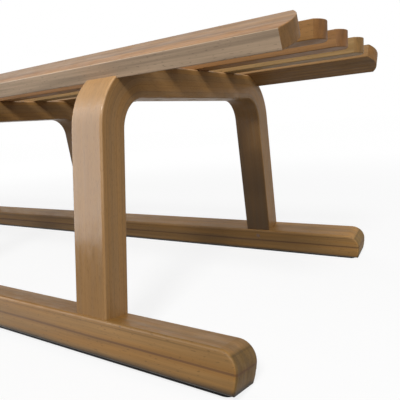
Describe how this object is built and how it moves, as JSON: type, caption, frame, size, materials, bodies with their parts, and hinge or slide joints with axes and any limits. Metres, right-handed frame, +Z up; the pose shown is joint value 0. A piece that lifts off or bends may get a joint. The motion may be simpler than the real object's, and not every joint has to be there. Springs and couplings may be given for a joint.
{
  "type": "wooden sled",
  "caption": "Slatted bentwood sled: steel-shod runners curved up at the front, arched bows, and a seat of lengthwise slats.",
  "frame": {"origin": "on the ground, under the middle of the sled", "axes": "+X is the direction of travel, +Y is the rider's left, +Z is up"},
  "size_m": [1.1, 0.3342, 0.226],
  "materials": {
    "beech": "clear satin lacquer",
    "dowel": "end grain, lacquered",
    "steel": "dark flat steel strip"
  },
  "bodies": {
    "root": {"centre_slat": "beech", "front_bow": "beech", "front_crossbar": "beech", "front_left_leg_pin": "dowel", "front_right_leg_pin": "dowel", "left_inner_slat": "beech", "left_outer_slat": "beech", "left_runner": "beech", "left_runner_strip": "steel", "left_tip_pin": "dowel", "middle_bow": "beech", "middle_left_leg_pin": "dowel", "middle_right_leg_pin": "dowel", "rear_bow": "beech", "rear_left_leg_pin": "dowel", "rear_right_leg_pin": "dowel", "right_inner_slat": "beech", "right_outer_slat": "beech", "right_runner": "beech", "right_runner_strip": "steel", "right_tip_pin": "dowel"}
  },
  "joints": []
}
